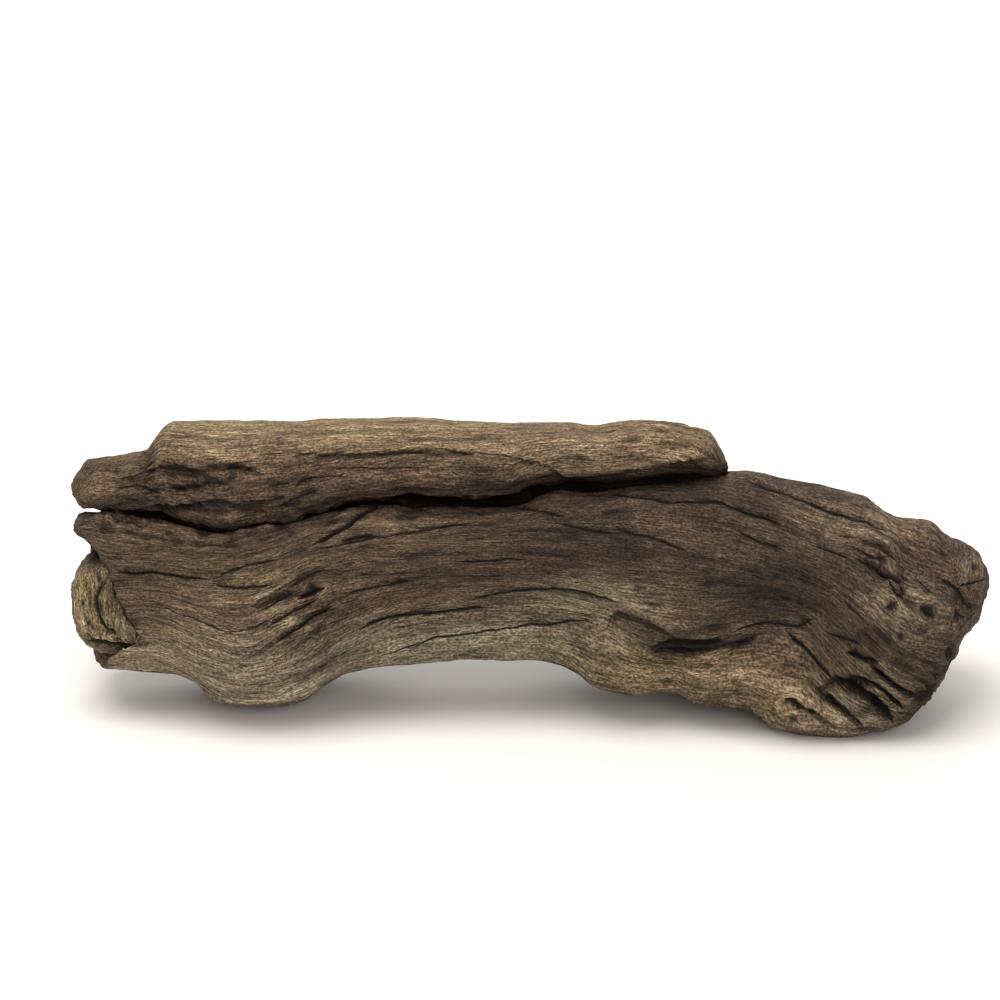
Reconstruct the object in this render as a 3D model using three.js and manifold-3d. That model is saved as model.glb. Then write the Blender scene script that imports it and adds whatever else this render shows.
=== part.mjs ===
// A piece of driftwood: one weathered, bent stem with a burl at its right end, and a plank
// of the same wood that a long split has almost parted from its top.
// It is one solid. The stem, the plank, the web of wood that still joins them and the older
// heartwood that shows at the broken left end are lofts, joined into a single closed body.
//
// The lofts are drawn in the stem's own frame, in millimetres: x along the grain, w up and
// d back. The stem leans back by LEAN when it lies on its worn underside, at z = 0.
import * as THREE from "three";
import { mergeVertices } from "three/addons/utils/BufferGeometryUtils.js";
import Module from "manifold-3d";

const LEAN = THREE.MathUtils.degToRad(20); // how far the stem leans back as it lies
const GROUND_W = 13; // height w of the ground under the stem's middle, d = 0
const GRAIN_COLOUR = 0x5a4a3c;
const CROWDING = 0.7; // how much closer together the stations stand at the ends, 0 to 1
const CAP_SHARES = [0.4, 0.75, 0.93]; // sizes of the rings that close an end

// The stem: its crest and keel in side view, [x, w].
const STEM_CREST = [
  [-196, 96], [-193, 99], [-180, 98.5], [-163, 96], [-148, 92.5], [-132, 89], [-116, 92],
  [-98, 94.5], [-81, 99.5], [-66, 102], [-49, 100.5], [-30, 100.5], [-6, 101.5], [13, 108],
  [30, 108], [48, 110.5], [74, 114], [92, 117], [113, 113], [135, 109], [146, 105],
  [155, 98.5], [173, 95], [181, 88], [192, 84], [196, 79.5], [198, 74],
];
const STEM_KEEL = [
  [-196, 29.5], [-182, 29], [-161, 28], [-150, 25], [-139, 18], [-126, 14], [-113, 13.5],
  [-100, 15.5], [-89, 22], [-78, 28], [-56, 31.5], [-26, 34], [0, 34], [14, 31.5], [22, 27],
  [27, 23], [39, 20], [54, 19.5], [62, 20], [71, 15.5], [88, 14.5], [96, 12], [105, 6],
  [120, 2.5], [134, 2], [149, 4], [160, 7], [172, 18], [180, 30], [188, 43.5], [196, 54.5],
  [198, 61],
];
// The broken left end in side view: how far left the wood reaches at each height, [w, x].
const STEM_BREAK = [
  [28, -181], [31, -183], [38, -177], [45, -166], [54, -171], [62, -175], [74, -179],
  [80, -183], [86, -188], [92, -195], [99, -196.5],
];

const STEM = {
  start: -196,
  end: 198,
  crest: STEM_CREST,
  keel: STEM_KEEL,
  front: [[-196, -36], [-160, -40], [-113, -46], [-60, -42], [-20, -39], [30, -42], [80, -50],
    [130, -55], [165, -50], [190, -32], [198, -17]],
  back: [[-196, 30], [-150, 40], [-90, 42], [-20, 38], [40, 44], [100, 56], [140, 54],
    [175, 40], [192, 24], [198, 12]],
  crestDepth: [[-196, -6], [-150, -20], [13, -20], [60, -10], [92, 0], [198, 0]],
  keelDepth: [[-196, 0], [-113, 3], [-26, 0], [40, -12], [80, -18], [135, -28], [165, -24],
    [198, -2]],
  frontHeight: [[-196, 60], [-113, 48], [-60, 60], [-20, 62], [40, 60], [100, 56], [150, 52],
    [190, 64], [198, 69]],
  backHeight: [[-196, 60], [-113, 58], [-26, 64], [40, 60], [100, 58], [150, 58], [198, 69]],
  // How square the section is in each quarter: 2 is an ellipse, more is boxier.
  topFront: [[-196, 2.3], [198, 2.2]],
  bottomFront: [[-196, 2.2], [198, 2.2]],
  bottomBack: [[-196, 1.8], [-113, 2], [-26, 1.8], [90, 2], [135, 1.5], [198, 2]],
  topBack: [[-196, 3], [40, 3], [100, 2.2], [198, 2]],
  cap: [3, 1], // how far the two ends bulge
  stations: 78,
  frontLines: 20,
  backLines: 14,
};

const PLANK = {
  start: -196.5,
  end: 85,
  crest: [[-196.5, 114], [-195, 117], [-191, 122.5], [-180, 123.5], [-167, 126.5], [-162, 132.5],
    [-156, 139], [-141, 139], [-101, 139], [-79, 140], [-61, 140.5], [-43, 140], [-21, 138.5],
    [18, 138], [29, 137], [42, 138.5], [54, 139.5], [71, 136], [79, 133.5], [83, 126.5],
    [85, 121]],
  keel: [[-196.5, 106], [-194, 103.2], [-190, 101.5], [-176, 100.8], [-161, 99.5], [-150, 95.5],
    [-132, 91], [-122, 93.5], [-103, 96], [-92, 99], [-77, 104], [-62, 105], [-51, 107],
    [-34, 106], [-9, 106], [-2, 109.5], [6, 111.5], [30, 111], [56, 113], [75, 113.5], [85, 114]],
  front: [[-196.5, -24], [-185, -32], [-150, -35], [-60, -37], [0, -37], [60, -34], [80, -28],
    [85, -20]],
  back: [[-196.5, 18], [-180, 27], [-150, 35], [0, 37], [60, 34], [80, 24], [85, 14]],
  crestDepth: [[-196.5, 0], [-156, 14], [-60, 18], [60, 18], [85, 0]],
  keelDepth: [[-196.5, -10], [-150, -8], [0, -8], [85, -4]],
  frontHeight: [[-196.5, 109], [-156, 113], [-60, 117], [10, 122], [50, 125], [85, 119]],
  backHeight: [[-196.5, 110], [-156, 116], [0, 119], [85, 119]],
  topFront: [[-196.5, 2.6], [85, 2.4]],
  bottomFront: [[-196.5, 3.5], [-60, 4], [-8, 3.5], [20, 1.9], [85, 1.9]],
  bottomBack: [[-196.5, 3], [85, 2.5]],
  topBack: [[-196.5, 2.8], [85, 2.6]],
  cap: [1, 1],
  stations: 44,
  frontLines: 13,
  backLines: 11,
};

// The wood inside the split that still holds the plank to the stem.
const WEB = {
  start: -187,
  end: 78,
  crest: [[-187, 108], [-150, 118], [-60, 122], [78, 128]],
  keel: [[-187, 90], [-120, 80], [-60, 86], [78, 98]],
  front: [[-187, 8], [-150, -2], [-120, -8], [-20, -6], [30, -14], [78, -14]],
  back: [[-187, 27], [-150, 34], [0, 37], [60, 34], [78, 24]],
  crestDepth: [[-187, 18], [78, 8]],
  keelDepth: [[-187, 18], [78, 8]],
  frontHeight: [[-187, 99], [-60, 103], [78, 113]],
  backHeight: [[-187, 99], [-60, 103], [78, 113]],
  topFront: [[-187, 2.5], [78, 2.5]],
  bottomFront: [[-187, 2.5], [78, 2.5]],
  bottomBack: [[-187, 3], [78, 3]],
  topBack: [[-187, 3], [78, 3]],
  cap: [2, 3],
  stations: 16,
  frontLines: 6,
  backLines: 6,
};

// Older wood that sticks out where the outer layers have broken away at the left end.
const HEART = {
  start: -197,
  end: -128,
  crest: [[-197, 70], [-195.5, 75], [-192, 80], [-186, 84], [-170, 85], [-128, 72]],
  keel: [[-197, 50], [-195.5, 44.5], [-190, 39.5], [-184, 37.5], [-170, 36], [-128, 44]],
  front: [[-197, -22], [-190, -29], [-170, -32], [-128, -26]],
  back: [[-197, 18], [-190, 25], [-170, 28], [-128, 22]],
  crestDepth: [[-197, -4], [-128, -4]],
  keelDepth: [[-197, -8], [-128, -6]],
  frontHeight: [[-197, 60], [-128, 60]],
  backHeight: [[-197, 62], [-128, 60]],
  topFront: [[-197, 2.6], [-128, 2.4]],
  bottomFront: [[-197, 2.8], [-128, 2.4]],
  bottomBack: [[-197, 2.4], [-128, 2.4]],
  topBack: [[-197, 2.4], [-128, 2.4]],
  cap: [1.2, 5],
  stations: 14,
  frontLines: 9,
  backLines: 7,
};

// Humps (height above 0) and hollows on the stem: [x, w, side, radius, height]. Side is -1
// on the front and 1 on the back.
const SWELLS = [
  [-116, 40, -1, 26, 4],
  [36, 40, -1, 15, 6],
  [60, 40, -1, 11, -8],
  [82, 38, -1, 10, -5],
  [112, 94, -1, 28, 4],
  [100, 64, -1, 24, -4],
  [108, 36, -1, 18, 5],
  [172, 90, -1, 12, 5],
  [172, 79, -1, 8, -4],
  [187, 74, -1, 9, 4],
  [183, 62, -1, 8, -3],
  [160, 54, -1, 14, 3],
  [134, 21, -1, 11, -6],
  [-90, 66, 1, 26, 6],
  [-30, 48, 1, 18, -5],
  [34, 78, 1, 24, 5],
  [92, 40, 1, 22, 5],
  [140, 76, 1, 18, -5],
  [-150, 44, 1, 16, -4],
];

// A smooth curve through the points [at, value] that never overshoots between two of them.
function curve(points) {
  const at = points.map((p) => p[0]);
  const value = points.map((p) => p[1]);
  const slope = value.slice(1).map((v, i) => (v - value[i]) / (at[i + 1] - at[i]));
  const tangent = value.map((_, i) => {
    const before = slope[i - 1] ?? slope[i];
    const after = slope[i] ?? slope[i - 1];
    return before * after > 0 ? (2 * before * after) / (before + after) : 0;
  });
  return (x) => {
    if (x <= at[0]) return value[0];
    if (x >= at.at(-1)) return value.at(-1);
    const i = at.findIndex((a) => a > x) - 1;
    const span = at[i + 1] - at[i];
    const t = (x - at[i]) / span;
    const rise = 3 * t * t - 2 * t * t * t;
    const lead = t * (1 - t) * (1 - t) * span;
    const trail = t * t * (t - 1) * span;
    return value[i] + rise * (value[i + 1] - value[i]) + lead * tangent[i] + trail * tangent[i + 1];
  };
}

const smooth = (t) => {
  const c = Math.min(1, Math.max(0, t));
  return c * c * (3 - 2 * c);
};

// Half a section, from [d, w] at its first point to its last, as count points spaced evenly
// along it. corners are the half's start, its outermost point and its end, and powers how
// square its two quarters are.
function halfSection(corners, powers, count) {
  const [start, outer, end] = corners;
  const steps = 160;
  const fine = Array.from({ length: steps + 1 }, (_, i) => {
    const angle = (Math.PI * i) / steps;
    const first = angle < Math.PI / 2;
    const from = first ? start : end;
    const power = 2 / powers[first ? 0 : 1];
    const across = Math.sin(angle) ** power;
    const up = Math.abs(Math.cos(angle)) ** power;
    return [from[0] + (outer[0] - from[0]) * across, outer[1] + (from[1] - outer[1]) * up];
  });
  const run = [0];
  for (let i = 1; i <= steps; i++)
    run.push(run[i - 1] + Math.hypot(fine[i][0] - fine[i - 1][0], fine[i][1] - fine[i - 1][1]));
  let i = 0;
  return Array.from({ length: count }, (_, n) => {
    const goal = (run[steps] * n) / count;
    while (i < steps - 1 && run[i + 1] < goal) i++;
    const t = (goal - run[i]) / (run[i + 1] - run[i] || 1);
    return [0, 1].map((k) => fine[i][k] + t * (fine[i + 1][k] - fine[i][k]));
  });
}

// The [d, w] points of one section, from the crest down the front and up the back.
function section(lines, x) {
  const crest = [lines.crestDepth(x), lines.crest(x)];
  const keel = [lines.keelDepth(x), lines.keel(x)];
  const front = [lines.front(x), lines.frontHeight(x)];
  const back = [lines.back(x), lines.backHeight(x)];
  const frontPowers = [lines.topFront(x), lines.bottomFront(x)];
  const backPowers = [lines.bottomBack(x), lines.topBack(x)];
  return [
    ...halfSection([crest, front, keel], frontPowers, lines.frontLines),
    ...halfSection([keel, back, crest], backPowers, lines.backLines),
  ];
}

const average = (values) => values.reduce((sum, v) => sum + v, 0) / values.length;
const middle = (points) => [average(points.map((p) => p[0])), average(points.map((p) => p[1]))];

// The rings that close one end: they shrink towards the section's middle and bulge outwards.
function capRings(lines, x, bulge) {
  const points = section(lines, x);
  const [midD, midW] = middle(points);
  return CAP_SHARES.map((share) => {
    const out = x + bulge * Math.sqrt(1 - share ** 3);
    return points.map(([d, w]) => [out, midD + share * (d - midD), midW + share * (w - midW)]);
  });
}

// Stations along the length, closer together near the two ends.
function stationsOf({ start, end, stations }) {
  return Array.from({ length: stations + 1 }, (_, i) => {
    const t = i / stations;
    return start + (end - start) * (t - (CROWDING * Math.sin(2 * Math.PI * t)) / (2 * Math.PI));
  });
}

// A closed skin over a row of sections, as [x, d, w] points and the triangles between them.
// Every list of pairs in the spec is a curve along x.
function loft(spec, reshape = (p) => p) {
  const lines = Object.fromEntries(
    Object.entries(spec).map(([key, v]) => [key, v[0]?.length ? curve(v) : v]),
  );
  const { start, end } = spec;
  const [bulgeStart, bulgeEnd] = spec.cap;
  const rings = [
    ...capRings(lines, start, -bulgeStart),
    ...stationsOf(spec).map((x) => section(lines, x).map(([d, w]) => [x, d, w])),
    ...capRings(lines, end, bulgeEnd).reverse(),
  ];
  const tips = [
    [start - bulgeStart, ...middle(section(lines, start))],
    [end + bulgeEnd, ...middle(section(lines, end))],
  ];
  const around = spec.frontLines + spec.backLines;
  const lastRing = (rings.length - 1) * around;
  const firstTip = rings.length * around;
  const faces = [];
  for (let j = 0; j < around; j++) {
    const next = (j + 1) % around;
    for (let row = 0; row < lastRing; row += around) {
      faces.push(row + j, row + next, row + around + next);
      faces.push(row + j, row + around + next, row + around + j);
    }
    faces.push(firstTip, next, j);
    faces.push(firstTip + 1, lastRing + j, lastRing + next);
  }
  return { points: [...rings.flat(), ...tips].map(reshape), faces };
}

// Breaks the stem's left end back to its ragged outline on the front, and to a flatter one
// on the back, and raises the humps and hollows.
const breakAt = curve(STEM_BREAK);
const BREAK_REACH = 60;
const BACK_BREAK = -192;

function shapeStem([x, d, w]) {
  const reach = STEM.start + BREAK_REACH;
  const behind = smooth((d + 6) / 24);
  const left = breakAt(w) + (BACK_BREAK - breakAt(w)) * behind;
  const moved = x < reach ? left + ((x - STEM.start) * (reach - left)) / BREAK_REACH : x;
  const side = d < 0 ? -1 : 1;
  const shown = smooth(Math.abs(d) / 22);
  const push = SWELLS.filter((s) => s[2] === side).reduce((sum, [sx, sw, , radius, height]) => {
    const away = ((moved - sx) ** 2 + (w - sw) ** 2) / radius ** 2;
    return sum + height * Math.exp(-away);
  }, 0);
  return [moved, d + side * push * shown, w];
}

// From the stem's frame to one with +Z up. The wood rests at z = 0, where its underside is
// worn flat: what would lie under the ground is pressed up to it.
function lay([x, d, w]) {
  const y = w * Math.sin(LEAN) + d * Math.cos(LEAN);
  const z = (w - GROUND_W) * Math.cos(LEAN) - d * Math.sin(LEAN);
  return [x, y, Math.max(z, 0)];
}

const wasm = await Module();
wasm.setup();

function solid({ points, faces }) {
  const geometry = new THREE.BufferGeometry();
  geometry.setAttribute("position", new THREE.Float32BufferAttribute(points.flatMap(lay), 3));
  geometry.setIndex(faces);
  const merged = mergeVertices(geometry, 1e-3);
  return new wasm.Manifold(
    new wasm.Mesh({
      numProp: 3,
      vertProperties: merged.attributes.position.array,
      triVerts: new Uint32Array(merged.index.array),
    }),
  );
}

// The finished solid, with the middle of its footprint at the origin.
function geometryOf(made) {
  const mesh = made.getMesh();
  const geometry = new THREE.BufferGeometry();
  geometry.setAttribute("position", new THREE.BufferAttribute(mesh.vertProperties, 3));
  geometry.setIndex(new THREE.BufferAttribute(mesh.triVerts, 1));
  geometry.computeVertexNormals();
  geometry.computeBoundingBox();
  const { min, max } = geometry.boundingBox;
  geometry.translate(-(min.x + max.x) / 2, -(min.y + max.y) / 2, -min.z);
  return geometry;
}

const wood = [loft(PLANK), loft(WEB), loft(HEART)].reduce(
  (sum, part) => sum.add(solid(part)),
  solid(loft(STEM, shapeStem)),
);

const driftwood = new THREE.Mesh(
  geometryOf(wood),
  new THREE.MeshStandardMaterial({ color: GRAIN_COLOUR, roughness: 0.85, metalness: 0 }),
);
driftwood.name = "driftwood";

const part = new THREE.Group();
part.add(driftwood);

export default part;
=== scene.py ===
"""A piece of driftwood: a bent, weathered stem with a burl at its right end, and a plank of the
same wood that a long split has almost parted from its top.

The stem, the plank, the web of wood between them and the heartwood at the broken left end are
the same lofts as the CAD model's, worked out on finer grids. Grain, drying cracks, knots and
torn wood are raised on them, and the four are joined into one closed skin.

Shapes are drawn in millimetres in the stem's own frame: x along the grain, w up and d back.
lay() leans them back and puts them in the model's frame, in metres.
"""

import itertools
import math

import bpy
import numpy as np
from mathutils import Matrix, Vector


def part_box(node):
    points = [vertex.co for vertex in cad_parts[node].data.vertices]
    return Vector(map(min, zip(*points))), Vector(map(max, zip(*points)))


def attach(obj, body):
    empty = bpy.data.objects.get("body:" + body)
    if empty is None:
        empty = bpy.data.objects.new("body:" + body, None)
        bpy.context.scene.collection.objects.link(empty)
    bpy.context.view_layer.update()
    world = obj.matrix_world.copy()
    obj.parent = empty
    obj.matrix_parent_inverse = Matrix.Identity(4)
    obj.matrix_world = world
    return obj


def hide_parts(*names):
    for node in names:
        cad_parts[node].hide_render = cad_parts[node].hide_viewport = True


MM = 0.001
LEAN = math.radians(20)  # how far the stem leans back as it lies
GROUND_W = 13  # height w of the ground under the stem's middle, d = 0
CROWDING = 0.2  # how much closer together the sections stand at the two ends
# The rows of a loft's end cap, as shares of the section it closes.
CAP_SHARES = np.array([0, 0.12, 0.25, 0.38, 0.5, 0.62, 0.73, 0.83, 0.91, 0.97])
SECTION_SAMPLES = 161  # points that half of a section is measured with

# ------------------------------------------------------------
# The four lofts, as in the CAD model. Every list of pairs is a curve along x.

STEM = {
    "start": -196,
    "end": 198,
    "crest": [
        (-196, 96), (-193, 99), (-180, 98.5), (-163, 96), (-148, 92.5), (-132, 89), (-116, 92),
        (-98, 94.5), (-81, 99.5), (-66, 102), (-49, 100.5), (-30, 100.5), (-6, 101.5), (13, 108),
        (30, 108), (48, 110.5), (74, 114), (92, 117), (113, 113), (135, 109), (146, 105),
        (155, 98.5), (173, 95), (181, 88), (192, 84), (196, 79.5), (198, 74),
    ],
    "keel": [
        (-196, 29.5), (-182, 29), (-161, 28), (-150, 25), (-139, 18), (-126, 14), (-113, 13.5),
        (-100, 15.5), (-89, 22), (-78, 28), (-56, 31.5), (-26, 34), (0, 34), (14, 31.5), (22, 27),
        (27, 23), (39, 20), (54, 19.5), (62, 20), (71, 15.5), (88, 14.5), (96, 12), (105, 6),
        (120, 2.5), (134, 2), (149, 4), (160, 7), (172, 18), (180, 30), (188, 43.5), (196, 54.5),
        (198, 61),
    ],
    "front": [
        (-196, -36), (-160, -40), (-113, -46), (-60, -42), (-20, -39), (30, -42), (80, -50),
        (130, -55), (165, -50), (190, -32), (198, -17),
    ],
    "back": [
        (-196, 30), (-150, 40), (-90, 42), (-20, 38), (40, 44), (100, 56), (140, 54), (175, 40),
        (192, 24), (198, 12),
    ],
    "crest_depth": [(-196, -6), (-150, -20), (13, -20), (60, -10), (92, 0), (198, 0)],
    "keel_depth": [
        (-196, 0), (-113, 3), (-26, 0), (40, -12), (80, -18), (135, -28), (165, -24), (198, -2),
    ],
    "front_height": [
        (-196, 60), (-113, 48), (-60, 60), (-20, 62), (40, 60), (100, 56), (150, 52), (190, 64),
        (198, 69),
    ],
    "back_height": [
        (-196, 60), (-113, 58), (-26, 64), (40, 60), (100, 58), (150, 58), (198, 69),
    ],
    "top_front": [(-196, 2.3), (198, 2.2)],
    "bottom_front": [(-196, 2.2), (198, 2.2)],
    "bottom_back": [(-196, 1.8), (-113, 2), (-26, 1.8), (90, 2), (135, 1.5), (198, 2)],
    "top_back": [(-196, 3), (40, 3), (100, 2.2), (198, 2)],
    "cap": (3, 1),
}
PLANK = {
    "start": -196.5,
    "end": 85,
    "crest": [
        (-196.5, 114), (-195, 117), (-191, 122.5), (-180, 123.5), (-167, 126.5), (-162, 132.5),
        (-156, 139), (-141, 139), (-101, 139), (-79, 140), (-61, 140.5), (-43, 140), (-21, 138.5),
        (18, 138), (29, 137), (42, 138.5), (54, 139.5), (71, 136), (79, 133.5), (83, 126.5),
        (85, 121),
    ],
    "keel": [
        (-196.5, 106), (-194, 103.2), (-190, 101.5), (-176, 100.8), (-161, 99.5), (-150, 95.5),
        (-132, 91), (-122, 93.5), (-103, 96), (-92, 99), (-77, 104), (-62, 105), (-51, 107),
        (-34, 106), (-9, 106), (-2, 109.5), (6, 111.5), (30, 111), (56, 113), (75, 113.5),
        (85, 114),
    ],
    "front": [
        (-196.5, -24), (-185, -32), (-150, -35), (-60, -37), (0, -37), (60, -34), (80, -28),
        (85, -20),
    ],
    "back": [(-196.5, 18), (-180, 27), (-150, 35), (0, 37), (60, 34), (80, 24), (85, 14)],
    "crest_depth": [(-196.5, 0), (-156, 14), (-60, 18), (60, 18), (85, 0)],
    "keel_depth": [(-196.5, -10), (-150, -8), (0, -8), (85, -4)],
    "front_height": [(-196.5, 109), (-156, 113), (-60, 117), (10, 122), (50, 125), (85, 119)],
    "back_height": [(-196.5, 110), (-156, 116), (0, 119), (85, 119)],
    "top_front": [(-196.5, 2.6), (85, 2.4)],
    "bottom_front": [(-196.5, 3.5), (-60, 4), (-8, 3.5), (20, 1.9), (85, 1.9)],
    "bottom_back": [(-196.5, 3), (85, 2.5)],
    "top_back": [(-196.5, 2.8), (85, 2.6)],
    "cap": (1, 1),
}
WEB = {
    "start": -187,
    "end": 78,
    "crest": [(-187, 108), (-150, 118), (-60, 122), (78, 128)],
    "keel": [(-187, 90), (-120, 80), (-60, 86), (78, 98)],
    "front": [(-187, 8), (-150, -2), (-120, -8), (-20, -6), (30, -14), (78, -14)],
    "back": [(-187, 27), (-150, 34), (0, 37), (60, 34), (78, 24)],
    "crest_depth": [(-187, 18), (78, 8)],
    "keel_depth": [(-187, 18), (78, 8)],
    "front_height": [(-187, 99), (-60, 103), (78, 113)],
    "back_height": [(-187, 99), (-60, 103), (78, 113)],
    "top_front": [(-187, 2.5), (78, 2.5)],
    "bottom_front": [(-187, 2.5), (78, 2.5)],
    "bottom_back": [(-187, 3), (78, 3)],
    "top_back": [(-187, 3), (78, 3)],
    "cap": (2, 3),
}
HEART = {
    "start": -197,
    "end": -128,
    "crest": [(-197, 70), (-195.5, 75), (-192, 80), (-186, 84), (-170, 85), (-128, 72)],
    "keel": [(-197, 50), (-195.5, 44.5), (-190, 39.5), (-184, 37.5), (-170, 36), (-128, 44)],
    "front": [(-197, -22), (-190, -29), (-170, -32), (-128, -26)],
    "back": [(-197, 18), (-190, 25), (-170, 28), (-128, 22)],
    "crest_depth": [(-197, -4), (-128, -4)],
    "keel_depth": [(-197, -8), (-128, -6)],
    "front_height": [(-197, 60), (-128, 60)],
    "back_height": [(-197, 62), (-128, 60)],
    "top_front": [(-197, 2.6), (-128, 2.4)],
    "bottom_front": [(-197, 2.8), (-128, 2.4)],
    "bottom_back": [(-197, 2.4), (-128, 2.4)],
    "top_back": [(-197, 2.4), (-128, 2.4)],
    "cap": (1.2, 5),
}

# How far left the stem's front reaches at each height, (w, x), and its back. The stem is
# stretched to them over a reach, and the outline turns from one to the other over a depth.
STEM_BREAK = [
    (28, -181), (31, -183), (38, -177), (45, -166), (54, -171), (62, -175), (74, -179),
    (80, -183), (86, -188), (92, -195), (99, -196.5),
]
BREAK_REACH = 60
BREAK_RAGGED = 1.4  # how far its splinters stand out
BREAK_TURN = (-6, 24)  # depth d where the turn starts, and how deep it goes on
BACK_BREAK = -192

# Humps (height above 0) and hollows of the stem, as in the CAD: x, w, side, radius, height.
# Side is -1 on the front and 1 on the back. They fade out over SWELL_EASE where the sides meet.
SWELL_EASE = 22
SWELLS = [
    (-116, 40, -1, 26, 4), (36, 40, -1, 15, 6), (60, 40, -1, 11, -8), (82, 38, -1, 10, -5),
    (112, 94, -1, 28, 4), (100, 64, -1, 24, -4), (108, 36, -1, 18, 5), (172, 90, -1, 12, 5),
    (172, 79, -1, 8, -4), (187, 74, -1, 9, 4), (183, 62, -1, 8, -3), (160, 54, -1, 14, 3),
    (134, 21, -1, 11, -6), (-90, 66, 1, 26, 6), (-30, 48, 1, 18, -5), (34, 78, 1, 24, 5),
    (92, 40, 1, 22, 5), (140, 76, 1, 18, -5), (-150, 44, 1, 16, -4),
]

# ------------------------------------------------------------
# The grain and the relief, in mm

# Where the grain of the stem's front runs: heights w along x of four grain lines between the
# crest and the keel.
GRAIN_LINES = [
    [
        (-192, 89), (-161, 85), (-127, 83), (-98, 90), (-76, 95), (-47, 96), (-13, 98), (13, 101),
        (46, 105), (72, 104), (97, 98), (122, 87), (143, 79), (165, 65), (187, 60),
    ],
    [
        (-192, 71), (-161, 72), (-136, 70), (-114, 73), (-89, 80), (-64, 84), (-34, 85), (0, 87),
        (30, 85), (67, 81), (97, 75), (122, 68), (141, 55), (159, 40), (177, 35),
    ],
    [
        (-192, 55), (-166, 58), (-140, 52), (-121, 48), (-104, 56), (-85, 64), (-55, 69),
        (-25, 71), (4, 71), (38, 65), (72, 62), (105, 62), (122, 56), (137, 42), (150, 30),
        (170, 22),
    ],
    [
        (-187, 43), (-161, 42), (-140, 33), (-119, 27), (-98, 33), (-76, 44), (-55, 53),
        (-34, 56), (0, 58), (30, 54), (51, 44), (72, 41), (97, 48), (114, 47), (126, 32),
        (137, 20), (152, 12),
    ],
]
# Where an edge of the split is ragged: x, half length, turn about the wood (0 at the crest, pi at
# the keel), half width of the band in turn, and height in mm.
STEM_LIPS = [(-130, 80, 0.3, 0.25, 1.6), (-20, 40, 0.3, 0.2, 0.8), (-174, 18, 0.35, 0.25, 1.8)]
PLANK_LIPS = [
    (-125, 42, 2.9, 0.35, 2.6), (-184, 14, 2.9, 0.4, 2.2), (-30, 60, 2.9, 0.3, 1.2),
    (-50, 130, 3.6, 0.4, 1.6),
]
WEB_LIPS = [(-50, 130, 4.7, 0.9, 2.8)]
LIP_SIZE = 9  # mm; how far apart the breaks in a ragged edge are

STEM_GRAIN_R = 42  # mm; grain is drawn as if the stem were a round of this radius
PLANK_GRAIN_R = 34  # and the plank and the web of this one
FULL_SHARE = 0.85  # a section counts as full from this share of the median girth
PARTING = 0.5  # how wide the grain parts around a knot, as a share of its radius
LEVEL_GAP = 0.4  # mm; grain lines stay at least this far apart
UPRIGHT_STAGGER = 0.4  # how far each fibre of the heart is shifted along the next, for each mm

# The relief all over. Ridges and fine ridges each have a height, and a size along the grain and
# across it. Lumps are as long as wide, and grow to twice their height on the burl.
RIDGES = 0.55
RIDGE_SIZE = np.array([70, 8, 8])
FINE_RIDGES = 0.25
FINE_RIDGE_SIZE = np.array([14, 2.4, 2.4])
LUMPS = 0.8
LUMP_SIZE = 20
BURL_START = 120  # x where the lumps start to grow
BURL_EASE = 40  # and how far they take to do it
FURROW_WIDTH = 0.24  # the band of noise about its middle, 0, that makes a furrow
FURROW_DEPTH = 0.6
# how far the furrows are darkened: painted shade in them
FURROW_SHADE = 0.3
SINK = 0.2  # how far the whole surface is lowered

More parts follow.
